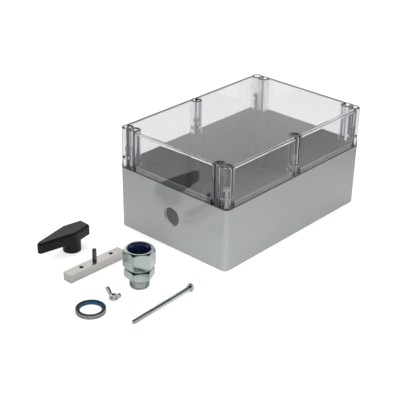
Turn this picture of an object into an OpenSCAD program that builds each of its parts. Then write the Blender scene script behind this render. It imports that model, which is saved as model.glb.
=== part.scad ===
// Hinged polycarbonate enclosure with a tall clear lid and its loose fittings.
// The origin is the middle of the base's underside. X runs along the long side,
// Y along the short side, and the hinge is on the +Y side.

/* [Box] */
// Length of the box at the rim
box_len = 298; // [220:1:400]
// Width of the box at the rim
box_wid = 200; // [150:1:300]
// Height of the base, from its underside to the rim
base_h = 92; // [70:1:150]
// Radius of the upright outer corners
corner_r = 7; // [7:0.5:10]
// How far each base wall leans in at the underside
base_draft = 0.7; // [0.1:0.1:1]
// Thickness of the base floor
floor_t = 4; // [3:0.5:6]

/* [Lid] */
// Height of the lid above the rim
lid_h = 61; // [45:1:100]
// Thickness of the lid's side walls
lid_wall = 2.4; // [2:0.1:4]
// Thickness of the lid's flat top
lid_top = 2.6; // [2:0.1:5]
// Height of the flange round the lid's lower edge
flange_h = 5.6; // [4.5:0.1:10]
// How far the lid's walls stand back from the flange
lid_recess = 0.8; // [0.4:0.1:1.5]
// Bevel along the lid's top edge
lid_bevel = 1; // [0.4:0.1:1.5]
// Radius inside the lid, where its walls meet the top
lid_fillet = 3; // [1:0.5:5]

/* [Wells] */
// Outer diameter of the tubes that stand in the lid
tube_d = 17; // [15:0.5:18]
// Bore of the wells inside the tubes
well_d = 10; // [9.6:0.2:10.4]
// Height of the screw seat above the rim
seat_rise = 18; // [16:0.5:24]
// Thickness of the screw seat
seat_t = 4; // [3:0.5:5]
// Distance from a corner well to the mounting well beside it
mount_pitch = 13.5; // [13.5:0.5:20]
// Diameter of the wall-mounting holes through the floor
mount_hole_d = 5.5; // [4.5:0.5:6.5]
// Height of the shoulder under a wall-mounting screw's head
mount_seat = 8; // [5:1:15]

/* [Seal] */
// Height of the sealing tongue above the rim
tongue_h = 8; // [5:0.5:10]
// Thickness of the sealing tongue
tongue_t = 1.5; // [1.2:0.1:2.5]
// Gap between the tongue and the lid
tongue_gap = 0.35; // [0.3:0.05:0.6]
// Width of the gasket
gasket_w = 1.2; // [1:0.1:1.4]
// Height of the gasket
gasket_h = 1.5; // [1:0.1:2.5]

/* [Lid screws] */
// Diameter of the screw's thread
screw_d = 4.9; // [4:0.1:5]
// Diameter of the screw's head
head_d = 9; // [8:0.5:9]
// Height of the screw's head
head_h = 4; // [3:0.5:5]
// How far a loosened screw stands up from its seat
screw_lift = 8; // [6:0.5:9]
// Gap between a loosened screw's tip and the rim
tip_gap = 1; // [0.5:0.1:2]
// Outer diameter of the threaded insert
insert_d = 7; // [6.6:0.2:8]
// Length of the threaded insert
insert_h = 10; // [8:0.5:14]
// Outer diameter of the washer that holds the screw in the lid
washer_d = 8.6; // [8:0.1:8.8]
// Thickness of that washer
washer_t = 1.2; // [0.8:0.1:1.6]

/* [Cable entry] */
// Diameter of the hole in the short side
entry_d = 28; // [16:0.5:40]
// Height of the hole's centre
entry_z = 48; // [35:1:60]

/* [Mounting bosses] */
// Distance between the boss rows along the box
boss_pitch_x = 230; // [120:1:240]
// Distance between the boss rows across the box
boss_pitch_y = 120; // [60:1:130]
// Diameter of a boss
boss_d = 9; // [7:0.5:12]
// Height of a boss above the floor
boss_h = 8; // [5:0.5:15]
// Diameter of the screw hole in a boss
boss_hole_d = 3.5; // [2.5:0.1:4]

/* [Hinge] */
// Distance from the middle of the box to each hinge
hinge_x = 85; // [40:1:95]
// Distance from the box's side to the hinge axis
hinge_off = 4; // [3.8:0.1:6]
// Radius of the hinge knuckles
knuckle_r = 3.2; // [2.8:0.1:3.4]
// Radius of the hinge pin
pin_r = 1.5; // [1:0.1:1.8]
// Length of the lid's knuckle
lid_knuckle = 14; // [10:1:24]
// Length of each of the bracket's two knuckles
bracket_knuckle = 8; // [6:1:12]
// Depth of the hinge bracket below the axis
bracket_drop = 24; // [20:1:30]
// Thickness of the bracket's plate
bracket_t = 2.2; // [1.5:0.1:3]
// Distance between the bracket's two screws
bracket_screw_pitch = 18; // [12:1:22]
// Diameter of the bracket screw's thread
bracket_screw_d = 2.9; // [2.5:0.1:3.5]

/* [Conduit connector] */
// Diameter of the threaded spigot
spigot_d = 26.4; // [20:0.1:33]
// Length of the spigot
spigot_h = 14; // [10:0.5:20]
// Diameter of the collar above the spigot
collar_d = 32.5; // [30:0.5:36]
// Height of the collar
collar_h = 2.5; // [1.5:0.5:4]
// Body hexagon across its flats
body_af = 36; // [34:0.5:42]
// Height of the body hexagon
body_hex_h = 10.5; // [8:0.5:14]
// Compression nut across its flats
nut_af = 38; // [36:0.5:44]
// Height of the nut's hexagon
nut_hex_h = 19; // [14:0.5:24]
// Height of the nut's domed end
nut_dome_h = 6; // [4:0.5:8]
// Diameter of the nut's mouth
nut_mouth_d = 32; // [24:0.2:32]
// Diameter of the thread under the nut
sleeve_d = 34.2; // [33:0.2:35]
// Gap between the body hexagon and the nut
nut_gap = 4; // [3:0.5:6]
// Bore for the wires
wire_bore_d = 20; // [15:0.5:22]

/* [Sealing ring] */
// Outer diameter of the ring's steel shell
ring_od = 39; // [34:0.5:46]
// Inner diameter of the rubber
ring_id = 28.4; // [24:0.1:30]
// Height of the ring
ring_h = 5; // [3:0.5:7]
// Thickness of the steel shell
ring_shell_t = 2; // [1.5:0.1:3]

/* [T-handle] */
// Length of the long arm, from the hub's axis
handle_long = 59; // [35:1:66]
// Length of the short arm, from the hub's axis
handle_short = 26; // [16:1:35]
// Greatest width of the handle
handle_wid = 29; // [24:1:34]
// Thickness of the arms
handle_t = 16; // [9:0.5:18]
// Diameter of the hub
hub_d = 25.5; // [18:0.5:28]
// Height of the hub below the arms
hub_h = 17; // [10:0.5:24]
// Diameter of the threaded bush in the hub
bush_d = 12; // [10:0.5:14]
// Length of the bush
bush_h = 14; // [8:0.5:16]

/* [Stud bar] */
// Length of the bar
bar_len = 95; // [80:1:140]
// Width of the bar
bar_wid = 15; // [12:0.5:25]
// Height of the bar
bar_h = 12; // [8:0.5:16]
// Distance from the stud to the near hole
bar_hole_near = 23; // [15:1:35]
// Distance from the stud to the far hole
bar_hole_far = 29; // [15:1:35]
// Diameter of the bar's holes
bar_hole_d = 6; // [4:0.5:8]
// Length of the stud above the bar
stud_h = 19; // [15:1:50]

/* [Small fasteners] */
// Thread diameter of the bolt, the stud and the wing nut
thread_d = 6; // [4:1:8]
// Length of the bolt under its head
bolt_len = 105; // [60:1:140]
// Height of the bolt's head
bolt_head_h = 4; // [3:0.5:6]
// Distance between the wing nut's wing tips
wing_span = 29; // [22:1:36]

/* [Hidden] */
$fn = 96;

// Where the loose fittings lie round the box.
connector_at = [-250, -39.5, 0];
connector_turn = 23.5;
ring_at = [-335.5, -39, 0];
handle_at = [-247.5, 95.5, 0];
bar_at = [-261.5, 34, 0];
bar_turn = -1.7;
wing_nut_at = [-295.5, -38, 0];
bolt_tip_at = [-320.5, -98.5, 0];
bolt_turn = 1;

// Fits.
fit = 0.05;         // running gap all round a thread, pin or insert
play = 0.3;         // gap beside parts that move freely
eps = 1;            // how far a cutter runs past the face it opens
shank_d = thread_d + 0.6;   // the stud's knurled shank, pressed into the bar

// Plan positions of the ten wells: a screw well in each corner and midway
// along the long sides, and a mounting well beside each corner.
tube_r = tube_d / 2;
well_x = box_len / 2 - max(corner_r, tube_r);
well_y = box_wid / 2 - max(corner_r, tube_r);
mount_y = well_y - mount_pitch;
screw_points = [
    [-well_x, -well_y], [0, -well_y], [well_x, -well_y],
    [well_x, well_y], [0, well_y], [-well_x, well_y]];
mount_points = [for (x = [-1, 1], y = [-1, 1]) [x * well_x, y * mount_y]];

// Plan of the walls, from the outside in.
lid_inner = lid_recess + lid_wall;
tongue_in = tongue_gap + tongue_t;
wall_in = lid_inner + tongue_in;    // the base wall carries the tongue flush inside
rim_z = base_h;
top_z = base_h + lid_h;

// Screw, insert and washer levels.
seat_z = rim_z + seat_rise;
screw_len = seat_rise + screw_lift - tip_gap;
insert_top = 0.5;                   // the insert lies this far below the rim
tip_room = 4;                       // free depth under the insert
core_d = 8;                         // core hole that hollows each screw boss from below
core_roof = 30;                     // material left between the rim and that core

// Hinge.
axis_y = box_wid / 2 + hinge_off;
knuckle_gap = 0.3;
hinge_len = lid_knuckle + 2 * (knuckle_gap + bracket_knuckle);
pin_head_r = pin_r + 0.9;
pin_head_h = 1;
bracket_screw_z = rim_z - 15;
bracket_screw_len = 8;
pad_d = 8;                          // pads inside the wall that take the bracket's screws
pad_h = 4;

// Connector levels.
hex_z = spigot_h + collar_h;
sleeve_z = hex_z + body_hex_h;
nut_z = sleeve_z + nut_gap;
dome_z = nut_z + nut_hex_h;
nut_top = dome_z + nut_dome_h;
lip_t = 1.6;                        // the nut's mouth lip, which holds the gland ring
ring_travel = 2.4;                  // free travel of the gland ring above the sleeve
gland_top = nut_top - lip_t - fit;
gland_h = 10;
sleeve_top = gland_top - gland_h - ring_travel;

base_grey = [0.66, 0.67, 0.68];
clear_lid = [0.86, 0.86, 0.9, 0.35];
steel = [0.74, 0.75, 0.76];
bright_zinc = [0.8, 0.83, 0.83];
brass = [0.78, 0.62, 0.3];
nylon = [0.9, 0.9, 0.88];
rubber_black = [0.1, 0.1, 0.11];
rubber_blue = [0.08, 0.24, 0.42];
handle_black = [0.07, 0.07, 0.07];
deep_blue = [0.06, 0.08, 0.22];

// ---- Outlines ----

module rounded_plan(l, w, r) {
    square([l - 2 * r, w], center = true);
    square([l, w - 2 * r], center = true);
    for (x = [-1, 1], y = [-1, 1])
        translate([x * (l / 2 - r), y * (w / 2 - r)]) circle(r);
}

module in_corners() {
    for (x = [0, 1], y = [0, 1]) mirror([x, 0]) mirror([0, y]) children();
}

// Outline of the sealed space, at a distance d inside the lid's inner faces.
// It runs straight past each pair of corner wells and round the middle ones, with
// sides square to the hinge, so that the lid's tubes swing up clear of the tongue.
module seal_plan(d) {
    r = tube_r + d;
    difference() {
        square([box_len, box_wid] - 2 * (lid_inner + d) * [1, 1], center = true);
        in_corners() {
            translate([well_x, mount_y]) circle(r);
            translate([well_x - r, mount_y]) square([box_len, box_wid]);
            translate([well_x, mount_y - r]) square([box_len, box_wid]);
            translate([0, well_y]) circle(r);
            translate([-r, well_y]) square([2 * r, box_wid]);
        }
    }
}

// Outline of the space between the lid's tubes, above the sealing tongue.
module lid_space_plan() {
    difference() {
        square([box_len, box_wid] - 2 * lid_inner * [1, 1], center = true);
        in_corners() {
            translate([well_x, mount_y]) square([box_len, box_wid]);
            translate([well_x, mount_y]) circle(tube_r);
            translate([well_x, well_y]) circle(tube_r);
        }
        for (y = [-1, 1]) translate([0, y * well_y]) circle(tube_r);
    }
}

// The space above the tongue, with its top edges rounded off along the four walls.
module lid_space() difference() {
    ceiling_z = top_z - lid_top;
    translate([0, 0, rim_z + tongue_h]) linear_extrude(ceiling_z - rim_z - tongue_h) lid_space_plan();
    for (a = [0, 90, 180, 270]) rotate(a)
        translate([0, (a % 180 == 0 ? box_wid : box_len) / 2 - lid_inner, ceiling_z])
            rotate([90, 0, 90]) linear_extrude(box_len, center = true) difference() {
                translate([-lid_fillet, -lid_fillet]) square(lid_fillet + eps);
                translate([-lid_fillet, -lid_fillet]) circle(lid_fillet, $fn = 48);
            }
}

module at_points(points) {
    for (p = points) translate([p.x, p.y, 0]) children();
}

// A hole or rod along Y, from y inwards to the box's middle.
module along_y(x, y, z, r, h) {
    translate([x, y, z]) rotate([90, 0, 0]) cylinder(r = r, h = h);
}

module along_x(x, y, z, r, h) {
    translate([x, y, z]) rotate([0, 90, 0]) cylinder(r = r, h = h, center = true);
}

// ---- Base ----

module base_body() {
    hull() {
        translate([0, 0, rim_z - eps]) linear_extrude(eps)
            rounded_plan(box_len, box_wid, corner_r, $fn = 48);
        linear_extrude(eps)
            rounded_plan(box_len - 2 * base_draft, box_wid - 2 * base_draft, corner_r, $fn = 48);
    }
}

module screw_boss_hole() {
    hole_h = insert_top + insert_h;
    translate([0, 0, rim_z - hole_h]) cylinder(d = insert_d + 2 * fit, h = hole_h + eps);
    translate([0, 0, rim_z - hole_h - tip_room]) cylinder(d = screw_d + 2 * play, h = tip_room + eps);
    translate([0, 0, -eps]) cylinder(d = core_d, h = rim_z - core_roof + eps);
}

module mount_hole() {
    translate([0, 0, -eps]) cylinder(d = mount_hole_d, h = mount_seat + 2 * eps);
    translate([0, 0, mount_seat]) cylinder(d = well_d, h = rim_z);
}

module floor_bosses() {
    for (x = [-1, 0, 1], y = [-1, 1])
        translate([x * boss_pitch_x / 2, y * boss_pitch_y / 2, 0]) children();
}

module at_bracket_screws() {
    for (x = [-hinge_x, hinge_x], s = [-0.5, 0.5])
        translate([x + s * bracket_screw_pitch, 0, 0]) children();
}

module base_shell() color(base_grey) difference() {
    union() {
        difference() {
            base_body();
            translate([0, 0, floor_t]) linear_extrude(rim_z) seal_plan(tongue_in);
        }
        translate([0, 0, rim_z - eps]) linear_extrude(tongue_h + eps) difference() {
            seal_plan(tongue_gap);
            seal_plan(tongue_in);
        }
        floor_bosses() translate([0, 0, floor_t - eps]) cylinder(d = boss_d, h = boss_h + eps);
        at_bracket_screws()
            along_y(0, box_wid / 2 - wall_in + eps, bracket_screw_z, pad_d / 2, pad_h + eps);
    }
    at_points(screw_points) screw_boss_hole();
    at_points(mount_points) mount_hole();
    floor_bosses() translate([0, 0, floor_t / 2])
        cylinder(d = boss_hole_d, h = floor_t / 2 + boss_h + eps);
    translate([-box_len / 2, 0, entry_z]) rotate([0, 90, 0])
        cylinder(d = entry_d, h = 2 * (wall_in + eps), center = true);
    at_bracket_screws()
        along_y(0, box_wid / 2 + eps, bracket_screw_z, bracket_screw_d / 2 + fit,
            bracket_screw_len - bracket_t + eps + play);
}

module threaded_inserts() color(brass) at_points(screw_points)
    translate([0, 0, rim_z - insert_top - insert_h]) difference() {
        cylinder(d = insert_d, h = insert_h);
        translate([0, 0, -eps]) cylinder(d = screw_d + 2 * fit, h = insert_h + 2 * eps);
    }

// ---- Lid ----

module lid_body() {
    translate([0, 0, rim_z]) linear_extrude(flange_h) rounded_plan(box_len, box_wid, corner_r);
    wall_plan = [box_len, box_wid] - 2 * lid_recess * [1, 1];
    translate([0, 0, rim_z]) linear_extrude(lid_h - lid_bevel)
        rounded_plan(wall_plan.x, wall_plan.y, corner_r - lid_recess);
    hull() {
        translate([0, 0, top_z - 2 * lid_bevel]) linear_extrude(lid_bevel)
            rounded_plan(wall_plan.x, wall_plan.y, corner_r - lid_recess, $fn = 48);
        translate([0, 0, top_z - lid_bevel]) linear_extrude(lid_bevel)
            rounded_plan(wall_plan.x - 2 * lid_bevel, wall_plan.y - 2 * lid_bevel,
                corner_r - lid_recess - lid_bevel, $fn = 48);
    }
    at_points(concat(screw_points, mount_points)) {
        translate([0, 0, rim_z]) cylinder(d = tube_d, h = lid_h - lid_bevel);
        translate([0, 0, top_z - lid_bevel])
            cylinder(r1 = tube_r, r2 = tube_r - lid_bevel, h = lid_bevel);
    }
}

module screw_well() {
    pocket_h = seat_rise - seat_t;
    translate([0, 0, seat_z]) cylinder(d = well_d, h = lid_h);
    translate([0, 0, rim_z]) cylinder(d = screw_d + 2 * play, h = lid_h);
    translate([0, 0, rim_z - eps]) cylinder(d = washer_d + 2 * fit + play, h = pocket_h + eps);
}

module lid_knuckle(x) {
    along_x(x, axis_y, rim_z, knuckle_r, lid_knuckle);
    translate([x - lid_knuckle / 2, box_wid / 2 - lid_recess, rim_z + knuckle_gap])
        cube([lid_knuckle, hinge_off + lid_recess, knuckle_r - knuckle_gap]);
}

module lid_cover() color(clear_lid) difference() {
    union() {
        lid_body();
        for (x = [-hinge_x, hinge_x]) lid_knuckle(x);
    }
    translate([0, 0, rim_z - eps]) linear_extrude(tongue_h + 2 * eps) seal_plan(0);
    lid_space();
    translate([0, 0, rim_z - eps]) linear_extrude(gasket_h + eps) seal_plan(-gasket_w);
    at_points(screw_points) screw_well();
    at_points(mount_points) translate([0, 0, rim_z - eps]) cylinder(d = well_d, h = lid_h + 2 * eps);
    for (x = [-hinge_x, hinge_x]) along_x(x, axis_y, rim_z, pin_r + fit, lid_knuckle + 2 * eps);
}

module lid_gasket() color(rubber_black) translate([0, 0, rim_z]) linear_extrude(gasket_h) difference() {
    seal_plan(-gasket_w);
    seal_plan(tongue_gap / 2);
}

// ---- Captive lid screws ----

// A loosened screw, held up in its well by the washer below the seat.
module lid_screw(n) {
    p = screw_points[n - 1];
    head_z = seat_z + screw_lift;
    slot_w = 1.4;
    color(nylon) translate([p.x, p.y, 0]) difference() {
        union() {
            translate([0, 0, head_z]) cylinder(d = head_d, h = head_h);
            translate([0, 0, head_z - screw_len]) cylinder(d = screw_d, h = screw_len + eps);
        }
        translate([-head_d, -slot_w / 2, head_z + head_h / 2]) cube([2 * head_d, slot_w, head_h]);
    }
}

module screw_washer(n) {
    p = screw_points[n - 1];
    color(nylon) translate([p.x, p.y, seat_z - seat_t - play - washer_t]) difference() {
        cylinder(d = washer_d, h = washer_t);
        translate([0, 0, -eps]) cylinder(d = screw_d + 2 * fit, h = washer_t + 2 * eps);
    }
}

// ---- Hinges ----

module bracket_outline() {
    r = 3;
    translate([-hinge_len / 2, -bracket_drop + r]) square([hinge_len, bracket_drop - r - knuckle_r]);
    translate([-hinge_len / 2 + r, -bracket_drop]) square([hinge_len - 2 * r, bracket_drop - knuckle_r]);
    for (s = [-1, 1]) translate([s * (hinge_len / 2 - r), -bracket_drop + r]) circle(r);
}

module hinge_bracket(x) color(base_grey) difference() {
    knuckle_at = (hinge_len - bracket_knuckle) / 2;
    union() {
        translate([x, box_wid / 2 + bracket_t + fit, rim_z]) rotate([90, 0, 0])
            linear_extrude(bracket_t) bracket_outline();
        for (s = [-1, 1]) {
            along_x(x + s * knuckle_at, axis_y, rim_z, knuckle_r, bracket_knuckle);
            translate([x + s * knuckle_at - bracket_knuckle / 2, box_wid / 2 + fit,
                    rim_z - 2 * knuckle_r])
                cube([bracket_knuckle, hinge_off - fit, 2 * knuckle_r - knuckle_gap]);
        }
    }
    along_x(x, axis_y, rim_z, pin_r + fit, hinge_len + 2 * eps);
    for (s = [-0.5, 0.5])
        along_y(x + s * bracket_screw_pitch, axis_y, bracket_screw_z, bracket_screw_d / 2 + fit,
            hinge_off + eps);
}

module hinge_pin(x) color(steel) {
    along_x(x, axis_y, rim_z, pin_r, hinge_len + 2 * (fit + pin_head_h));
    for (s = [-1, 1])
        along_x(x + s * (hinge_len / 2 + fit + pin_head_h / 2), axis_y, rim_z, pin_head_r, pin_head_h);
}

module hinge_screws() color(steel) at_bracket_screws() {
    face_y = box_wid / 2 + bracket_t + 2 * fit;
    pan_h = 1.8;
    difference() {
        union() {
            along_y(0, face_y + pan_h, bracket_screw_z, bracket_screw_d, pan_h);
            along_y(0, face_y + eps, bracket_screw_z, bracket_screw_d / 2, bracket_screw_len);
        }
        translate([-bracket_screw_d, face_y + pan_h / 2, bracket_screw_z - 0.4])
            cube([2 * bracket_screw_d, pan_h, 0.8]);
    }
}

// ---- Conduit connector ----

function across_corners(af) = af / cos(30);

// A hexagon bar with both ends turned down round, as on a wrench fitting.
module turned_hex(af, h, chamfer, turn) intersection() {
    rotate(turn) cylinder(d = across_corners(af), h = h, $fn = 6);
    d = across_corners(af);
    union() {
        cylinder(d1 = d - 2 * chamfer, d2 = d + 0.02, h = chamfer);
        translate([0, 0, chamfer]) cylinder(d = d + 0.02, h = h - 2 * chamfer);
        translate([0, 0, h - chamfer]) cylinder(d1 = d + 0.02, d2 = d - 2 * chamfer, h = chamfer);
    }
}

module connector_body() color(bright_zinc) translate(connector_at) difference() {
    union() {
        cylinder(d = spigot_d, h = spigot_h);
        translate([0, 0, spigot_h]) cylinder(d = collar_d, h = collar_h + eps);
        translate([0, 0, hex_z]) turned_hex(body_af, body_hex_h, 1.6, connector_turn);
        translate([0, 0, sleeve_z - eps]) cylinder(d = sleeve_d, h = sleeve_top - sleeve_z + eps);
    }
    translate([0, 0, -eps]) cylinder(d = wire_bore_d, h = sleeve_top + 2 * eps);
    translate([0, 0, sleeve_z]) cylinder(d = sleeve_d - 5, h = sleeve_top);
}

// The plastic ring that grips the conduit: the nut carries it up and down.
module gland_ring() color(deep_blue) translate(connector_at) translate([0, 0, gland_top - gland_h])
    rotate_extrude() polygon([
        [sleeve_d / 2 - 5, 0], [sleeve_d / 2 - 0.6, 0], [sleeve_d / 2 - fit, 0.6],
        [sleeve_d / 2 - fit, gland_h], [nut_mouth_d / 2 - 0.6, gland_h], [sleeve_d / 2 - 3.2, gland_h - 3]]);

module compression_nut() color(bright_zinc) translate(connector_at) difference() {
    intersection() {
        translate([0, 0, nut_z]) rotate(connector_turn)
            cylinder(d = across_corners(nut_af), h = nut_top - nut_z, $fn = 6);
        rotate_extrude() nut_profile();
    }
    translate([0, 0, nut_z - eps]) cylinder(d = sleeve_d + 2 * fit, h = nut_top - lip_t - nut_z + eps);
    translate([0, 0, nut_z]) cylinder(d = nut_mouth_d, h = nut_top);
}

// Turned outside of the nut: a bevelled foot, the hexagon's corners and the dome.
module nut_profile() {
    r = across_corners(nut_af) / 2 + 0.01;
    mouth_r = nut_mouth_d / 2 + 1.8;
    polygon([
        [0, nut_z], [r - 1.6, nut_z], [r, nut_z + 1.6], [r, dome_z],
        [(r + mouth_r) / 2 + 0.8, dome_z + nut_dome_h * 0.6], [mouth_r, nut_top], [0, nut_top]]);
}

// ---- Sealing ring ----

module seal_ring_shell() color(steel) translate(ring_at) difference() {
    cylinder(d = ring_od, h = ring_h);
    translate([0, 0, -eps]) cylinder(d = ring_od - 2 * ring_shell_t, h = ring_h + 2 * eps);
}

module seal_ring_rubber() color(rubber_blue) translate(ring_at) rotate_extrude() {
    outer = ring_od / 2 - ring_shell_t - 0.02;
    inner = ring_id / 2;
    polygon([
        [inner, 1], [inner + 0.8, 0.2], [outer, 0.2], [outer, ring_h - 0.2],
        [inner + 0.8, ring_h - 0.2], [inner, ring_h - 1]]);
}

// ---- T-handle ----

module handle_arms(inset, h) {
    tip_r = 4.6;
    end_r = 3;
    translate([-handle_long + tip_r, 0]) cylinder(r = tip_r - inset, h = h, $fn = 32);
    translate([-3, 0]) cylinder(r = handle_wid / 2 - inset, h = h, $fn = 48);
    for (s = [-1, 1]) translate([handle_short - end_r, s * 7]) cylinder(r = end_r - inset, h = h, $fn = 32);
}

module t_handle() color(handle_black) translate(handle_at) difference() {
    edge = 2;
    union() {
        cylinder(d = hub_d, h = hub_h + eps);
        translate([0, 0, hub_h]) hull() {
            handle_arms(edge / 2, handle_t - edge);
            translate([0, 0, edge / 2]) handle_arms(0, handle_t - 2 * edge);
            handle_arms(edge, handle_t);
        }
    }
    translate([0, 0, -eps]) cylinder(d = bush_d + 0.04, h = bush_h + eps);
}

module handle_bush() color(brass) translate(handle_at) difference() {
    cylinder(d = bush_d, h = bush_h);
    translate([0, 0, -eps]) cylinder(d = thread_d - 1, h = bush_h + 2 * eps);
}

// ---- Stud bar ----

module on_bar() translate(bar_at) rotate(bar_turn) children();

module stud_bar() color(steel) on_bar() difference() {
    translate([-bar_len / 2, -bar_wid / 2, 0]) cube([bar_len, bar_wid, bar_h]);
    for (x = [-bar_hole_near, bar_hole_far]) translate([x, 0, -eps])
        cylinder(d = bar_hole_d, h = bar_h + 2 * eps);
    translate([0, 0, bar_h / 2]) cylinder(d = shank_d + 2 * fit, h = bar_h);
}

module bar_stud() color(steel) on_bar() translate([0, 0, bar_h / 2]) {
    cylinder(d = shank_d, h = bar_h / 2);
    cylinder(d = thread_d, h = bar_h / 2 + stud_h - 1);
    translate([0, 0, bar_h / 2 + stud_h - 1]) cylinder(d1 = thread_d, d2 = thread_d - 1.6, h = 1);
}

// ---- Small fasteners ----

module wing() {
    thick = 2.4;
    tip_r = 3.4;
    rotate([90, 0, 0]) translate([0, 0, -thick / 2]) hull() {
        translate([thread_d * 0.75, 2.6]) cylinder(r = 2.4, h = thick, $fn = 32);
        translate([wing_span / 2 - tip_r, 13 - tip_r]) cylinder(r = tip_r, h = thick, $fn = 32);
    }
}

module wing_nut() color(steel) translate(wing_nut_at) difference() {
    union() {
        cylinder(d1 = thread_d * 2, d2 = thread_d * 1.6, h = thread_d);
        for (a = [87, 267]) rotate(a) wing();
    }
    translate([0, 0, -eps]) cylinder(d = thread_d - 1, h = 3 * thread_d);
}

module hex_bolt() {
    head_af = 10;
    lean = asin((head_af / 2 - thread_d / 2) / bolt_len);
    color(bright_zinc) translate(bolt_tip_at) rotate(bolt_turn) translate([0, 0, thread_d / 2])
        rotate([0, 90 - lean, 0]) {
            translate([0, 0, 1]) cylinder(d = thread_d, h = bolt_len - 1 + eps);
            cylinder(d1 = thread_d - 1.6, d2 = thread_d, h = 1);
            translate([0, 0, bolt_len]) turned_hex(head_af, bolt_head_h, 0.6, 30);
        }
}

base_shell();
threaded_inserts();
lid_cover();
lid_gasket();
lid_screw(1);  // lid_screw_1
lid_screw(2);  // lid_screw_2
lid_screw(3);  // lid_screw_3
lid_screw(4);  // lid_screw_4
lid_screw(5);  // lid_screw_5
lid_screw(6);  // lid_screw_6
screw_washer(1);  // screw_washer_1
screw_washer(2);  // screw_washer_2
screw_washer(3);  // screw_washer_3
screw_washer(4);  // screw_washer_4
screw_washer(5);  // screw_washer_5
screw_washer(6);  // screw_washer_6
hinge_bracket(-hinge_x);  // hinge_bracket_left
hinge_bracket(hinge_x);  // hinge_bracket_right
hinge_pin(-hinge_x);  // hinge_pin_left
hinge_pin(hinge_x);  // hinge_pin_right
hinge_screws();
connector_body();
gland_ring();
compression_nut();
seal_ring_shell();
seal_ring_rubber();
t_handle();
handle_bush();
stud_bar();
bar_stud();
wing_nut();
hex_bolt();
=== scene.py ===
import math

import bmesh
import bpy
from mathutils import Matrix, Vector


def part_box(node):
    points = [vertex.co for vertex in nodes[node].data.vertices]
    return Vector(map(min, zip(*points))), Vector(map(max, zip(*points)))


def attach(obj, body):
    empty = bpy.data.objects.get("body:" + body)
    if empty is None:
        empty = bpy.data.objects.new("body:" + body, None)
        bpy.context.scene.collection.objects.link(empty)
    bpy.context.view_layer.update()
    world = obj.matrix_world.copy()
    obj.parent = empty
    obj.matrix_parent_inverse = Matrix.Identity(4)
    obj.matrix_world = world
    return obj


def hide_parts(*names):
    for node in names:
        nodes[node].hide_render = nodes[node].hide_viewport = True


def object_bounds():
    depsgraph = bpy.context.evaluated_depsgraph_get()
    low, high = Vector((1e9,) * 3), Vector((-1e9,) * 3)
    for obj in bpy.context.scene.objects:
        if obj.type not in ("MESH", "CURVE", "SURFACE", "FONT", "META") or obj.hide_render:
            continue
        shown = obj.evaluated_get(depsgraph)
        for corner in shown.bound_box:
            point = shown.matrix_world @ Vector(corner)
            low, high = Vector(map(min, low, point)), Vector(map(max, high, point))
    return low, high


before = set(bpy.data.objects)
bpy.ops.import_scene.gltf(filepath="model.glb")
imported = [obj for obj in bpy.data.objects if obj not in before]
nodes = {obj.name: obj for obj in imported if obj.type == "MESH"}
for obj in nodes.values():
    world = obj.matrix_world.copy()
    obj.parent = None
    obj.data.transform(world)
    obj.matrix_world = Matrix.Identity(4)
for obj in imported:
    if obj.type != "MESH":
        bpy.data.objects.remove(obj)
cadLow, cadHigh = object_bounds()
scene = bpy.context.scene
print("frame loaded:", len(nodes), "nodes")

# Camera, a little above the lid and off the corner with the cable entry.
cameraSetup = {
    "azimuth": -48.119,  # degrees; 0 looks along +Y
    "elevation": 27.044,
    "roll": 0.985,
    "aim": (-0.03476, 0.0499, 0.01456),
    "distance": 1.57263,
    "lens": 95.181,
}


def makeCamera(setup):
    azimuth, elevation = math.radians(setup["azimuth"]), math.radians(setup["elevation"])
    back = Vector((math.sin(azimuth) * math.cos(elevation), -math.cos(azimuth) * math.cos(elevation),
                   math.sin(elevation)))
    camera = bpy.data.objects.new("camera", bpy.data.cameras.new("camera"))
    scene.collection.objects.link(camera)
    camera.data.sensor_width = 36
    camera.data.lens = setup["lens"]
    camera.data.clip_start, camera.data.clip_end = 0.05, 20
    camera.rotation_mode = "QUATERNION"
    camera.location = Vector(setup["aim"]) + back * setup["distance"]
    level = (-back).to_track_quat("-Z", "Y").to_matrix()
    roll = Matrix.Rotation(math.radians(setup["roll"]), 3, "Z")
    camera.rotation_quaternion = (level @ roll).to_quaternion()
    scene.camera = camera


makeCamera(cameraSetup)
print("camera placed")


def newNode(tree, kind, place=(0, 0), **settings):
    node = tree.nodes.new(kind)
    node.location = place
    for name, value in settings.items():
        setattr(node, name, value)
    return node


def join(tree, source, target):
    tree.links.new(source, target)


def mathNode(tree, operation, first, second, place=(0, 0), clamp=False):
    node = newNode(tree, "ShaderNodeMath", place, operation=operation, use_clamp=clamp)
    for socket, value in zip(node.inputs, (first, second)):
        if isinstance(value, (int, float)):
            socket.default_value = value
        else:
            join(tree, value, socket)
    return node.outputs[0]


def rangeNode(tree, value, fromLow, fromHigh, toLow, toHigh, place=(0, 0)):
    node = newNode(tree, "ShaderNodeMapRange", place)
    join(tree, value, node.inputs["Value"])
    limits = {"From Min": fromLow, "From Max": fromHigh, "To Min": toLow, "To Max": toHigh}
    for name, number in limits.items():
        node.inputs[name].default_value = number
    return node.outputs["Result"]


def newGroup(name, inputs, outputs):
    tree = bpy.data.node_groups.new(name, "ShaderNodeTree")
    for label, kind in inputs:
        tree.interface.new_socket(name=label, in_out="INPUT", socket_type=kind)
    for label, kind in outputs:
        tree.interface.new_socket(name=label, in_out="OUTPUT", socket_type=kind)
    return tree, newNode(tree, "NodeGroupInput", (-900, 0)), newNode(tree, "NodeGroupOutput", (600, 0))


vectorSocket, floatSocket = "NodeSocketVector", "NodeSocketFloat"


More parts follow.
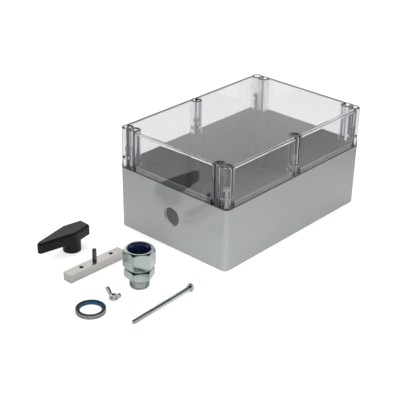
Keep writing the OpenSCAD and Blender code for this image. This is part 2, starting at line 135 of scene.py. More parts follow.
# Broad soft patches: uneven colour, handling smudges and dull spots.
def makeToneDrift():
    tree, given, made = newGroup("toneDrift", [("Vector", vectorSocket), ("Scale", floatSocket)],
                                 [("Mask", floatSocket)])
    noise = newNode(tree, "ShaderNodeTexNoise", (-500, 0))
    noise.inputs["Detail"].default_value = 5
    noise.inputs["Roughness"].default_value = 0.6
    noise.inputs["Distortion"].default_value = 0.4
    join(tree, given.outputs["Vector"], noise.inputs["Vector"])
    join(tree, given.outputs["Scale"], noise.inputs["Scale"])
    join(tree, rangeNode(tree, noise.outputs["Fac"], 0.32, 0.68, 0.0, 1.0, (0, 0)), made.inputs["Mask"])
    return tree


# The fine texture of the surface itself, spark grain or tool marks.
def makeSurfaceGrain():
    tree, given, made = newGroup("surfaceGrain", [("Vector", vectorSocket), ("Scale", floatSocket)],
                                 [("Height", floatSocket), ("Mask", floatSocket)])
    coarse = newNode(tree, "ShaderNodeTexNoise", (-500, 200))
    coarse.inputs["Detail"].default_value = 3
    fine = newNode(tree, "ShaderNodeTexVoronoi", (-500, -200), feature="SMOOTH_F1")
    fine.inputs["Smoothness"].default_value = 0.6
    for texture in (coarse, fine):
        join(tree, given.outputs["Vector"], texture.inputs["Vector"])
    join(tree, given.outputs["Scale"], coarse.inputs["Scale"])
    join(tree, mathNode(tree, "MULTIPLY", given.outputs["Scale"], 1.7, (-700, -200)), fine.inputs["Scale"])
    height = mathNode(tree, "ADD", coarse.outputs["Fac"],
                      mathNode(tree, "MULTIPLY", fine.outputs["Distance"], 0.5, (-250, -200)), (0, 0))
    join(tree, height, made.inputs["Height"])
    join(tree, rangeNode(tree, height, 0.5, 1.1, 0.0, 1.0, (250, -200)), made.inputs["Mask"])
    return tree


# Thin hair scratches, few and broken up.
def makeHairScratches():
    tree, given, made = newGroup("hairScratches", [("Vector", vectorSocket), ("Scale", floatSocket)],
                                 [("Mask", floatSocket)])
    masks = []
    directions = (((0.4, 0.2, 0.5), (1, 0.05, 0.6)), ((1.1, -0.5, 1.9), (0.5, 1, 0.04)))  # turn and squeeze
    for number, (turn, squeeze) in enumerate(directions):
        place = newNode(tree, "ShaderNodeMapping", (-700, -300 * number))
        place.inputs["Rotation"].default_value = turn
        place.inputs["Scale"].default_value = squeeze
        lines = newNode(tree, "ShaderNodeTexNoise", (-500, -300 * number))
        lines.inputs["Detail"].default_value = 1
        join(tree, given.outputs["Vector"], place.inputs["Vector"])
        join(tree, place.outputs["Vector"], lines.inputs["Vector"])
        join(tree, given.outputs["Scale"], lines.inputs["Scale"])
        off = mathNode(tree, "SUBTRACT", lines.outputs["Fac"], 0.5, (-300, -300 * number))
        off = mathNode(tree, "ABSOLUTE", off, 0, (-150, -300 * number))
        masks.append(rangeNode(tree, off, 0.0, 0.006, 1.0, 0.0, (0, -300 * number)))
    breaks = newNode(tree, "ShaderNodeTexNoise", (-500, 300))
    join(tree, given.outputs["Vector"], breaks.inputs["Vector"])
    join(tree, mathNode(tree, "MULTIPLY", given.outputs["Scale"], 0.3, (-700, 300)), breaks.inputs["Scale"])
    share = rangeNode(tree, breaks.outputs["Fac"], 0.52, 0.66, 0.0, 1.0, (-200, 300))
    both = mathNode(tree, "MAXIMUM", masks[0], masks[1], (200, -100))
    join(tree, mathNode(tree, "MULTIPLY", both, share, (400, 0)), made.inputs["Mask"])
    return tree


# Edges that stand out get rubbed: the rounded normal leaves the true one there.
def makeEdgeWear():
    inputs = [("Vector", vectorSocket), ("Scale", floatSocket), ("Radius", floatSocket)]
    tree, given, made = newGroup("edgeWear", inputs, [("Mask", floatSocket)])
    rounded = newNode(tree, "ShaderNodeBevel", (-600, 200), samples=4)
    join(tree, given.outputs["Radius"], rounded.inputs["Radius"])
    surface = newNode(tree, "ShaderNodeNewGeometry", (-600, 0))
    facing = newNode(tree, "ShaderNodeVectorMath", (-400, 100), operation="DOT_PRODUCT")
    join(tree, rounded.outputs["Normal"], facing.inputs[0])
    join(tree, surface.outputs["Normal"], facing.inputs[1])
    edge = rangeNode(tree, facing.outputs["Value"], 0.995, 0.9, 0.0, 1.0, (-200, 100))
    patches = newNode(tree, "ShaderNodeTexNoise", (-600, -250))
    patches.inputs["Detail"].default_value = 4
    join(tree, given.outputs["Vector"], patches.inputs["Vector"])
    join(tree, given.outputs["Scale"], patches.inputs["Scale"])
    share = rangeNode(tree, patches.outputs["Fac"], 0.4, 0.62, 0.15, 1.0, (-200, -250))
    join(tree, mathNode(tree, "MULTIPLY", edge, share, (200, 0)), made.inputs["Mask"])
    return tree


# A thin film of dust on what faces up.
def makeDustFilm():
    tree, given, made = newGroup("dustFilm", [("Vector", vectorSocket), ("Scale", floatSocket)],
                                 [("Mask", floatSocket)])
    surface = newNode(tree, "ShaderNodeNewGeometry", (-700, 200))
    split = newNode(tree, "ShaderNodeSeparateXYZ", (-500, 200))
    join(tree, surface.outputs["Normal"], split.inputs[0])
    upward = rangeNode(tree, split.outputs["Z"], 0.3, 0.95, 0.0, 1.0, (-300, 200))
    specks = newNode(tree, "ShaderNodeTexNoise", (-500, -200))
    specks.inputs["Detail"].default_value = 8
    specks.inputs["Roughness"].default_value = 0.7
    join(tree, given.outputs["Vector"], specks.inputs["Vector"])
    join(tree, given.outputs["Scale"], specks.inputs["Scale"])
    share = rangeNode(tree, specks.outputs["Fac"], 0.45, 0.75, 0.0, 1.0, (-200, -200))
    join(tree, mathNode(tree, "MULTIPLY", upward, share, (200, 0)), made.inputs["Mask"])
    return tree


toneDrift, surfaceGrain, hairScratches = makeToneDrift(), makeSurfaceGrain(), makeHairScratches()
edgeWear, dustFilm = makeEdgeWear(), makeDustFilm()
print("surface effects made")


def placeGroup(tree, group, coordinates, place, **values):
    node = newNode(tree, "ShaderNodeGroup", place, node_tree=group)
    join(tree, coordinates, node.inputs["Vector"])
    for name, value in values.items():
        node.inputs[name].default_value = value
    return node


def mixColour(tree, share, first, second, place):
    node = newNode(tree, "ShaderNodeMix", place, data_type="RGBA")
    join(tree, share, node.inputs["Factor"])
    for socket, value in ((node.inputs[6], first), (node.inputs[7], second)):
        if isinstance(value, tuple):
            socket.default_value = (*value, 1)
        else:
            join(tree, value, socket)
    return node.outputs[2]


def newMaterial(name):
    material = bpy.data.materials.new(name)
    material.use_nodes = True
    tree = material.node_tree
    tree.nodes.clear()
    output = newNode(tree, "ShaderNodeOutputMaterial", (900, 0))
    shader = newNode(tree, "ShaderNodeBsdfPrincipled", (500, 0))
    join(tree, shader.outputs["BSDF"], output.inputs["Surface"])
    return material, tree, shader, output


dustColour = (0.62, 0.61, 0.58)
wearToDrift = 3  # rubbed patches are that much smaller than the drifting ones


# One finish from its settings: drifting colour, rubbed edges, dust, scratches and grain.
def makeFinish(name, look):
    material, tree, shader, output = newMaterial(name)
    shader.inputs["Metallic"].default_value = look.get("metallic", 0.0)
    shader.inputs["IOR"].default_value = look.get("ior", 1.5)
    shader.inputs["Specular IOR Level"].default_value = look.get("specular", 0.5)
    place = newNode(tree, "ShaderNodeTexCoord", (-1300, 0))
    stretched = newNode(tree, "ShaderNodeMapping", (-1100, -300))
    stretched.inputs["Rotation"].default_value = (0, 0, math.radians(look.get("grainTurn", 0)))
    stretched.inputs["Scale"].default_value = look.get("grainStretch", (1, 1, 1))
    spot = place.outputs["Object"]
    join(tree, spot, stretched.inputs["Vector"])
    drift = placeGroup(tree, toneDrift, spot, (-800, 300), Scale=look["driftScale"]).outputs[0]
    grain = placeGroup(tree, surfaceGrain, stretched.outputs["Vector"], (-800, -300),
                       Scale=look["grainScale"])
    scratches = placeGroup(tree, hairScratches, spot, (-800, -600), Scale=look["scratchScale"]).outputs[0]
    worn = placeGroup(tree, edgeWear, spot, (-800, 600), Scale=look["driftScale"] * wearToDrift,
                      Radius=look["edgeWidth"]).outputs[0]
    dust = placeGroup(tree, dustFilm, spot, (-800, 0), Scale=look["dustScale"]).outputs[0]

    colour = mixColour(tree, drift, look["colour"], look["drift"], (-500, 300))
    layers = ((grain.outputs["Mask"], "grainTone", look["grainColour"]), (worn, "wear", look["wearColour"]),
              (dust, "dust", dustColour))
    for number, (mask, strength, tone) in enumerate(layers):
        share = mathNode(tree, "MULTIPLY", mask, look[strength], (-500 + 200 * number, 600))
        colour = mixColour(tree, share, colour, tone, (-300 + 200 * number, 300))
    join(tree, colour, shader.inputs["Base Color"])

    rough = rangeNode(tree, drift, 0.0, 1.0, *look["roughness"], (-500, -100))
    scuffed = mathNode(tree, "MULTIPLY", scratches, look["scratchRough"], (-300, -300))
    rough = mathNode(tree, "ADD", rough, scuffed, (-100, -100))
    dulled = mathNode(tree, "MULTIPLY", dust, look["dust"], (-100, -300))
    rough = mathNode(tree, "ADD", rough, dulled, (100, -100), clamp=True)
    join(tree, rough, shader.inputs["Roughness"])

    cuts = mathNode(tree, "MULTIPLY", scratches, look["scratchDepth"], (-300, -500))
    height = mathNode(tree, "SUBTRACT", grain.outputs["Height"], cuts, (-100, -500))
    bump = newNode(tree, "ShaderNodeBump", (200, -400))
    bump.inputs["Strength"].default_value = look["bump"]
    bump.inputs["Distance"].default_value = look["grainDepth"]
    join(tree, height, bump.inputs["Height"])
    join(tree, bump.outputs["Normal"], shader.inputs["Normal"])
    return material


plainFinish = {
    "driftScale": 14, "grainScale": 1400, "grainTone": 0.12, "scratchScale": 60, "scratchRough": 0.15,
    "scratchDepth": 0.4, "edgeWidth": 0.0004, "wear": 0.5, "dustScale": 90, "dust": 0.05, "bump": 0.5,
    "grainDepth": 0.00003,
}

# Base and hinge brackets: glossy moulded polycarbonate.
mouldedGrey = {
    **plainFinish, "colour": (0.335, 0.35, 0.35), "drift": (0.35, 0.362, 0.36),
    "grainColour": (0.30, 0.31, 0.312), "wearColour": (0.42, 0.43, 0.43), "wear": 0.6,
    "roughness": (0.045, 0.09), "driftScale": 9, "grainScale": 1800, "grainDepth": 0.000004,
    "edgeWidth": 0.0007, "dust": 0.03, "ior": 1.585, "specular": 1.0, "scratchRough": 0.08,
}
# T-handle: black moulded plastic, slightly textured.
blackPlastic = {
    **plainFinish, "colour": (0.005, 0.005, 0.0055), "drift": (0.009, 0.009, 0.0095),
    "grainColour": (0.014, 0.014, 0.015), "wearColour": (0.06, 0.06, 0.063), "wear": 0.4,
    "roughness": (0.24, 0.36), "grainScale": 1500,
    "grainDepth": 0.00006, "edgeWidth": 0.0009, "specular": 0.3, "dust": 0.012,
}
# Connector, nut, wing nut and bolt: bright zinc with a faint blue-green passivation; its colour is kept
# darker than bright zinc and its grain patches darker still, painted shade standing in for dim, patchy
# reflections.
brightPlating = {
    **plainFinish, "colour": (0.49, 0.575, 0.56), "drift": (0.64, 0.69, 0.67),
    "grainColour": (0.38, 0.48, 0.48), "wearColour": (0.86, 0.87, 0.85), "wear": 0.4,
    "roughness": (0.05, 0.13), "metallic": 1.0, "driftScale": 45, "grainScale": 900,
    "grainDepth": 0.000006, "scratchScale": 160, "scratchRough": 0.2,
}
# Stud bar: milled steel, brushed along its length.
satinSteel = {
    **plainFinish, "colour": (0.66, 0.645, 0.615), "drift": (0.75, 0.735, 0.70),
    "grainColour": (0.48, 0.465, 0.435), "grainTone": 0.35, "wearColour": (0.85, 0.84, 0.81),
    "wear": 0.7, "roughness": (0.26, 0.4), "metallic": 1.0, "driftScale": 30, "grainScale": 900,
    "grainStretch": (0.06, 1, 1), "grainTurn": 1.7, "grainDepth": 0.00004, "scratchScale": 120,
}
# The stud, darker and oiled.
studSteel = {
    **plainFinish, "colour": (0.24, 0.215, 0.19), "drift": (0.36, 0.33, 0.29),
    "grainColour": (0.15, 0.13, 0.11), "grainTone": 0.3, "wearColour": (0.6, 0.57, 0.52),
    "roughness": (0.24, 0.38), "metallic": 1.0, "driftScale": 60, "grainScale": 1200,
}
# Shell of the sealing ring.
ringSteel = {
    **plainFinish, "colour": (0.34, 0.35, 0.36), "drift": (0.46, 0.47, 0.47),
    "grainColour": (0.22, 0.22, 0.23), "grainTone": 0.25, "wearColour": (0.75, 0.76, 0.76), "wear": 0.7,
    "roughness": (0.18, 0.32), "metallic": 1.0, "driftScale": 50, "grainScale": 1100,
}
# Hinge pins and hinge screws, the same steel but brighter.
screwSteel = {
    **ringSteel, "colour": (0.62, 0.63, 0.63), "drift": (0.7, 0.71, 0.7), "grainColour": (0.5, 0.5, 0.5),
}
# Threaded inserts and the T-handle's bush.
brass = {
    **plainFinish, "colour": (0.74, 0.55, 0.25), "drift": (0.82, 0.64, 0.33),
    "grainColour": (0.55, 0.38, 0.15), "grainTone": 0.25, "wearColour": (0.93, 0.8, 0.52),
    "roughness": (0.2, 0.34), "metallic": 1.0, "driftScale": 60,
}
# Sealing ring: blue rubber inside, a black lip on top.
blueRubber = {
    **plainFinish, "colour": (0.004, 0.045, 0.105), "drift": (0.007, 0.065, 0.145),
    "grainColour": (0.01, 0.085, 0.18), "wearColour": (0.06, 0.2, 0.32), "wear": 0.3,
    "roughness": (0.34, 0.5), "grainDepth": 0.00005, "dust": 0.1,
}
blackRubber = {
    **plainFinish, "colour": (0.006, 0.008, 0.011), "drift": (0.01, 0.013, 0.018),
    "grainColour": (0.015, 0.02, 0.027), "wearColour": (0.05, 0.06, 0.07), "wear": 0.3,
    "roughness": (0.4, 0.55), "grainDepth": 0.00005, "specular": 0.3, "dust": 0.02,
}
# Gland ring inside the nut's mouth: hard glossy blue-black plastic.
deepBlue = {
    **plainFinish, "colour": (0.004, 0.007, 0.035), "drift": (0.006, 0.012, 0.06),
    "grainColour": (0.008, 0.014, 0.06), "wearColour": (0.05, 0.07, 0.15), "wear": 0.3,
    "roughness": (0.08, 0.18), "driftScale": 60, "grainDepth": 0.00001,
}
# Captive lid screws and their washers.
nylon = {
    **plainFinish, "colour": (0.74, 0.74, 0.71), "drift": (0.80, 0.80, 0.77),
    "grainColour": (0.66, 0.66, 0.62), "wearColour": (0.88, 0.88, 0.86), "roughness": (0.3, 0.42),
    "driftScale": 60, "grainDepth": 0.00003,
}
# Lid gasket.
sealRubber = {
    **plainFinish, "colour": (0.30, 0.31, 0.31), "drift": (0.36, 0.37, 0.37),
    "grainColour": (0.26, 0.26, 0.26), "wearColour": (0.45, 0.45, 0.45), "wear": 0.3,
    "roughness": (0.55, 0.7), "grainDepth": 0.00004,
}

# Lid: clear polycarbonate with a faint grey cast that deepens where it is thick.
clearPlastic = {
    "colour": (0.925, 0.92, 0.928),
    "ior": 1.585,
    "cast": (0.80, 0.795, 0.812),
    "castDensity": 150.0,  # per metre of plastic crossed
    "passed": (0.68, 0.675, 0.685),  # what the lamps send through it
    "roughness": (0.0, 0.025),
    "driftScale": 10,
    "scratchScale": 40,
    "scratchRough": 0.1,
}


def makeClearPlastic(look):
    material, tree, shader, output = newMaterial("clearPlastic")
    shader.inputs["Base Color"].default_value = (*look["colour"], 1)
    shader.inputs["Transmission Weight"].default_value = 1
    shader.inputs["IOR"].default_value = look["ior"]
    place = newNode(tree, "ShaderNodeTexCoord", (-900, 0))
    spot = place.outputs["Object"]
    drift = placeGroup(tree, toneDrift, spot, (-600, 100), Scale=look["driftScale"]).outputs[0]
    scratches = placeGroup(tree, hairScratches, spot, (-600, -200), Scale=look["scratchScale"]).outputs[0]
    rough = rangeNode(tree, drift, 0.35, 1.0, *look["roughness"], (-300, 100))
    scuffed = mathNode(tree, "MULTIPLY", scratches, look["scratchRough"], (-300, -200))
    join(tree, mathNode(tree, "ADD", rough, scuffed, (0, 0)), shader.inputs["Roughness"])
    rays = newNode(tree, "ShaderNodeLightPath", (100, 500))
    passes = mathNode(tree, "MAXIMUM", rays.outputs["Is Shadow Ray"], rays.outputs["Is Diffuse Ray"],
                      (300, 500))
    through = newNode(tree, "ShaderNodeBsdfTransparent", (300, 300))
    through.inputs["Color"].default_value = (*look["passed"], 1)
    pick = newNode(tree, "ShaderNodeMixShader", (700, 200))
    join(tree, passes, pick.inputs[0])
    join(tree, shader.outputs["BSDF"], pick.inputs[1])
    join(tree, through.outputs[0], pick.inputs[2])
    join(tree, pick.outputs[0], output.inputs["Surface"])
    cast = newNode(tree, "ShaderNodeVolumeAbsorption", (500, -400))
    cast.inputs["Color"].default_value = (*look["cast"], 1)
    cast.inputs["Density"].default_value = look["castDensity"]
    join(tree, cast.outputs[0], output.inputs["Volume"])
    return material


finishLooks = {
    "mouldedGrey": mouldedGrey, "blackPlastic": blackPlastic, "brightPlating": brightPlating,
    "satinSteel": satinSteel, "studSteel": studSteel, "ringSteel": ringSteel, "screwSteel": screwSteel,
    "brass": brass, "blueRubber": blueRubber, "blackRubber": blackRubber, "deepBlue": deepBlue,
    "nylon": nylon, "sealRubber": sealRubber,
}
finishes = {name: makeFinish(name, look) for name, look in finishLooks.items()}
finishes["clearPlastic"] = makeClearPlastic(clearPlastic)
print("finishes made:", len(finishes))

# Turned parts are rings of points round an axis, in millimetres. A ring is a height and a radius for
# each angle.
millimetre = 0.001
fineOffsets = (0, 0.7, 1.4, 2.2, 3.2, 4.5, 7, 12, 18, 24, 30)  # degrees from the nearest corner
coarseOffsets = (0, 1.5, 3.5, 7, 14, 22, 30)
halfSide = math.radians(30)  # from a hexagon's corner to the middle of its flat
cornerBlend = 0.25  # softens the line where a cone cuts the flats
turnedSharp = 32  # degrees between faces that stay sharp


def boxOf(name):
    low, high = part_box(name)
    return low / millimetre, high / millimetre


# The upright axis of a CAD node, turned about itself.
def uprightOn(name, turn=0.0):
    low, high = boxOf(name)
    middle = (low + high) / 2
    return Matrix.Translation((middle.x, middle.y, 0)) @ Matrix.Rotation(math.radians(turn), 4, "Z")


def cornerAngles(offsets):
    spread = [-o for o in reversed(offsets[1:-1])] + list(offsets)
    return [(60 * corner + o, abs(o)) for corner in range(6) for o in spread]


def cornerRadius(flats):
    return flats / 2 / math.cos(halfSide)


def hexRadius(offset, flats, rounding):
    half = flats / 2
    reach = (half - rounding) / math.cos(halfSide)
    away = math.radians(offset)
    rounded = halfSide - math.atan((half - rounding) * math.tan(halfSide) / half)
    if away <= rounded:
        return reach * math.cos(away) + math.sqrt(max(rounding ** 2 - (reach * math.sin(away)) ** 2, 0))
    return half / math.cos(halfSide - away)


def softMin(first, second, blend):
    near = max(blend - abs(first - second), 0) / blend
    return min(first, second) - near * near * blend / 4


def roundRings(angles, *points):
    return [(height, [radius] * len(angles)) for height, radius in points]


def hexRing(angles, part, height, turned):
    return height, [softMin(hexRadius(off, part["flats"], part["rounding"]), turned, cornerBlend)
                    for angle, off in angles]


# Rings up a hexagon where a cone cuts its corners, from one radius of the cone to another.
def coneRings(angles, part, low, rise, first, last, steps=8):
    return [hexRing(angles, part, low + rise * i / steps, first + (last - first) * i / steps)
            for i in range(steps + 1)]


# Rings joined into a skin. A ring of radius 0 is one point on the axis; hollow parts close on themselves.
def skinRings(mesh, angles, rings, hollow):
    loops = []
    for height, radii in rings:
        if max(radii) == 0:
            loops.append([mesh.verts.new((0, 0, height))])
            continue
        loops.append([mesh.verts.new((r * math.cos(math.radians(a)), r * math.sin(math.radians(a)), height))
                      for (a, off), r in zip(angles, radii)])
    pairs = list(zip(loops, loops[1:]))
    if hollow:
        pairs.append((loops[-1], loops[0]))
    count = len(angles)
    for low, high in pairs:
        for i in range(count):
            j = (i + 1) % count
            if len(low) == 1:
                mesh.faces.new((low[0], high[j], high[i]))
            elif len(high) == 1:
                mesh.faces.new((low[i], low[j], high[0]))
            else:
                mesh.faces.new((low[i], low[j], high[j], high[i]))


coarseTurn, fineTurn = 36, 72  # steps in a turn of thread
threadForm = {
    "sink": 0.05,  # how far the ridge's foot is sunk in the rod
    "footHalf": 0.47, "crestHalf": 0.09,  # shares of the pitch
    "fade": 0.7,  # of a turn at each end
}


# A screw thread's ridge, wound on a rod of the root radius and fading out at both ends.
def windThread(mesh, root, crest, pitch, low, high, steps=coarseTurn):
    total = int((high - low) / pitch * steps)
    fadeSteps = steps * threadForm["fade"]
    foot, wide, narrow = root - threadForm["sink"], threadForm["footHalf"], threadForm["crestHalf"]
    rings = []
    for i in range(total + 1):
        angle = 2 * math.pi * i / steps
        height = low + pitch * i / steps
        top = root + (crest - root) * min(1, i / fadeSteps, (total - i) / fadeSteps)
        across, along = math.cos(angle), math.sin(angle)
        profile = ((foot, -wide), (top, -narrow), (top, narrow), (foot, wide))
        rings.append([mesh.verts.new((radius * across, radius * along, height + shift * pitch))
                      for radius, shift in profile])
    for below, above in zip(rings, rings[1:]):
        for a in range(4):
            b = (a + 1) % 4
            mesh.faces.new((below[a], below[b], above[b], above[a]))
    mesh.faces.new(rings[0])
    mesh.faces.new(list(reversed(rings[-1])))


# Millimetres in the mesh, metres in the scene.
def finishPiece(name, mesh, place, finish, slot, body, *replaced):
    bmesh.ops.recalc_face_normals(mesh, faces=mesh.faces)
    mesh.transform(Matrix.Scale(millimetre, 4) @ place)
    data = bpy.data.meshes.new(name)
    mesh.to_mesh(data)
    mesh.free()
    for polygon in data.polygons:
        polygon.use_smooth = True
    data.set_sharp_from_angle(angle=math.radians(turnedSharp))
    data.materials.append(finishes[finish])
    piece = bpy.data.objects.new(name, data)
    scene.collection.objects.link(piece)
    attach(piece, body)
    if replaced:
        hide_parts(*replaced)


# Conduit connector: threaded spigot, collar, wrench hexagon and the sleeve that goes up into the nut.
connector = {
    "turn": 23.5,
    "spigotRadius": 13.2, "spigotRoot": 12.55, "spigotTip": 11.5, "spigotHeight": 14.0, "leadIn": 0.9,
    "undercutRadius": 12.3, "undercutHeight": 1.2, "undercutSlope": 0.4, "pitch": 1.5,
    "collarRadius": 16.25, "collarHeight": 2.5,
    "flats": 36.0, "hexHeight": 10.5, "chamfer": 1.6, "rounding": 1.3,
    "sleeveRadius": 17.1, "sleeveRoot": 16.5, "sleeveBore": 14.6, "bore": 10.0,
    "sleeveThread": (0.9, 9.0),  # both from the hexagon's top
    "edge": 0.3, "rimEdge": 0.4, "mouthEdge": 0.6, "coneClear": 0.05,
    "spigotThread": (1.2, 2.2),  # from the tip, and short of the collar
}


def makeConnectorBody(part):
    angles = cornerAngles(fineOffsets)
    mesh = bmesh.new()
    foot = part["spigotHeight"]
    shelf = foot + part["collarHeight"]
    top = shelf + part["hexHeight"]
    sleeveTop = boxOf("connector_body")[1].z
    corner = cornerRadius(part["flats"]) + part["coneClear"]
    chamfer, edge, rimEdge, mouthEdge = part["chamfer"], part["edge"], part["rimEdge"], part["mouthEdge"]
    root, undercut, collar = part["spigotRoot"], part["undercutRadius"], part["collarRadius"]
    sleeve, sleeveBore, bore = part["sleeveRoot"], part["sleeveBore"], part["bore"]
    relief = foot - part["undercutHeight"]
    rings = roundRings(
        angles, (0, part["spigotTip"]), (part["leadIn"], root), (relief - part["undercutSlope"], root),
        (relief, undercut), (foot, undercut), (foot, collar - edge), (foot + edge, collar),
        (shelf - edge, collar), (shelf, collar - edge))
    rings += coneRings(angles, part, shelf, chamfer, corner - chamfer, corner)
    rings += coneRings(angles, part, top - chamfer, chamfer, corner, corner - chamfer)
    rings += roundRings(
        angles, (top, sleeve), (sleeveTop - rimEdge, sleeve), (sleeveTop, sleeve - rimEdge),
        (sleeveTop, sleeveBore + edge), (sleeveTop - edge, sleeveBore), (top, sleeveBore),
        (top, bore + rimEdge), (top - rimEdge, bore), (mouthEdge, bore), (0, bore + mouthEdge))
    skinRings(mesh, angles, rings, True)
    start, short = part["spigotThread"]
    windThread(mesh, root, part["spigotRadius"], part["pitch"], start, foot - short, fineTurn)
    start, end = part["sleeveThread"]
    windThread(mesh, sleeve, part["sleeveRadius"], part["pitch"], top + start, top + end, fineTurn)
    finishPiece("connectorBody", mesh, uprightOn("connector_body", part["turn"]), "brightPlating",
                "bright_plating", "box", "connector_body")


makeConnectorBody(connector)

# Compression nut: a hexagon whose corners run up into a turned dome.
nut = {
    "flats": 38.0, "rounding": 1.5, "chamfer": 1.6,
    "domeHeight": 6.0, "domePower": 1.28, "domeSteps": 26,
    "mouth": 16.0, "lip": 1.8, "lipDepth": 1.6, "bore": 17.15,
    "edge": 0.3, "boreEdge": 0.5,
    "crest": ((0.06, 0.1), (0, 0.35)),  # below the top, and in from the rim
}


def makeNut(part):
    angles = cornerAngles(fineOffsets)
    mesh = bmesh.new()
    low, top = (point.z for point in boxOf("compression_nut"))
    corner = cornerRadius(part["flats"])
    mouth, bore, edge = part["mouth"], part["bore"], part["edge"]
    rim = mouth + part["lip"]
    rings = coneRings(angles, part, low, part["chamfer"], corner - part["chamfer"], corner)
    for i in range(part["domeSteps"]):
        share = i / part["domeSteps"]
        height = top + part["domeHeight"] * (share - 1)
        rings.append(hexRing(angles, part, height,
                             rim + (corner - rim) * math.sqrt(1 - share ** part["domePower"])))
    rings += roundRings(
        angles, *((top - down, rim - inward) for down, inward in part["crest"]), (top, mouth + edge),
        (top - edge, mouth), (top - part["lipDepth"], mouth), (top - part["lipDepth"], bore),
        (low + part["boreEdge"], bore), (low, bore + part["boreEdge"]))
    skinRings(mesh, angles, rings, True)
    finishPiece("compressionNut", mesh, uprightOn("compression_nut", connector["turn"]), "brightPlating",
                "bright_plating", "nut", "compression_nut")


makeNut(nut)

# Long bolt, lying on its head's edge and the tip of its thread.
bolt = {
    "tip": (-320.5, -98.5, 0.0),
    "turn": 1.0,
    "radius": 3.0, "play": 0.03, "root": 2.5, "point": 1.9, "pointLength": 0.8, "pitch": 1.0,
    "length": 105.0, "threaded": 32.0, "runOut": 0.7, "neck": 0.4, "neckRadius": 3.35,
    "flats": 10.0, "headHeight": 4.0, "rounding": 0.3, "washerFace": 4.4, "crown": 4.3,
    "thread": (1.0, 0.2),  # from the tip, and short of the threaded length
    "coneClear": 0.02,
    "underCone": (0.4, 0.35, 0.05), "topCone": (0.6, 1.02),  # height, then what it cuts from the corners
}


def makeBolt(part):
    angles = cornerAngles(coarseOffsets)
    mesh = bmesh.new()
    end, root, shank = part["threaded"], part["root"], part["radius"] - part["play"]
    corner = cornerRadius(part["flats"]) + part["coneClear"]
    under, top = part["length"], part["length"] + part["headHeight"]
    rings = roundRings(
        angles, (0, 0), (0, part["point"]), (part["pointLength"], root), (end, root),
        (end + part["runOut"], shank), (under - part["neck"], shank), (under, part["neckRadius"]),
        (under, part["washerFace"]))
    rise, cut, past = part["underCone"]
    rings += coneRings(angles, part, under, rise, corner - cut, corner + past, 4)
    rise, cut = part["topCone"]
    rings += coneRings(angles, part, top - rise, rise, corner, corner - cut, 6)
    rings += roundRings(angles, (top, part["crown"]), (top, 0))
    skinRings(mesh, angles, rings, False)
    start, short = part["thread"]
    windThread(mesh, root, part["radius"], part["pitch"], start, end - short)
    lean = math.asin((part["flats"] / 2 - part["radius"]) / part["length"])
    place = (Matrix.Translation(part["tip"]) @ Matrix.Rotation(math.radians(part["turn"]), 4, "Z")
             @ Matrix.Translation((0, 0, part["radius"])) @ Matrix.Rotation(math.radians(90) - lean, 4, "Y")
             @ Matrix.Rotation(halfSide, 4, "Z"))
    finishPiece("hexBolt", mesh, place, "brightPlating", "bright_plating", "box", "hex_bolt")


makeBolt(bolt)

# Sealing ring: a black lip of the rubber lies over the steel shell's upper edge.
sealLip = {
    "inner": 14.9, "outer": 18.8, "gap": 0.02, "thickness": 0.33, "sides": 120,
    "outerEdge": (0.12, 0.15), "innerEdge": (0.2, 0.1), "crest": 0.5,  # height and width of each slope
}


def makeSealLip(part):
    angles = [(360 / part["sides"] * step, 0) for step in range(part["sides"])]
    mesh = bmesh.new()
    inner, outer = part["inner"], part["outer"]
    low = boxOf("seal_ring_shell")[1].z + part["gap"]
    high = low + part["thickness"]
    (outerDrop, outerIn), (innerDrop, innerOut) = part["outerEdge"], part["innerEdge"]
    rings = roundRings(
        angles, (low, inner), (low, outer), (high - outerDrop, outer), (high, outer - outerIn),
        (high, inner + part["crest"]), (high - innerDrop, inner + innerOut))
    skinRings(mesh, angles, rings, True)
    finishPiece("sealLip", mesh, uprightOn("seal_ring_shell"), "blackRubber", "blue_rubber", "box")


makeSealLip(sealLip)

# The stud: a shank pressed into the bar, a plain neck and the thread.
stud = {
    "turn": -1.7,
    "shank": 3.3, "shankStop": 0.1,  # the shank ends that far below the bar's face
    "radius": 3.0, "root": 2.48, "neck": 1.2, "runOut": 0.4, "point": 1.8, "pointLength": 0.9,
    "threadStart": 2.0, "pitch": 1.0,
}


def makeStud(part):
    angles = cornerAngles(coarseOffsets)
    mesh = bmesh.new()
    face = boxOf("stud_bar")[1].z
    low, tip = (point.z for point in boxOf("bar_stud"))
    stop, neck, end = face - part["shankStop"], face + part["neck"], tip - part["pointLength"]
    radius, root = part["radius"], part["root"]
    rings = roundRings(
        angles, (low, 0), (low, part["shank"]), (stop, part["shank"]), (stop, radius), (neck, radius),
        (neck + part["runOut"], root), (end, root), (tip, part["point"]), (tip, 0))
    skinRings(mesh, angles, rings, False)
    windThread(mesh, root, radius, part["pitch"], face + part["threadStart"], end)
    finishPiece("barStud", mesh, uprightOn("bar_stud", part["turn"]), "studSteel", "stud_steel", "box",
                "bar_stud")


makeStud(stud)
print("turned pieces made")

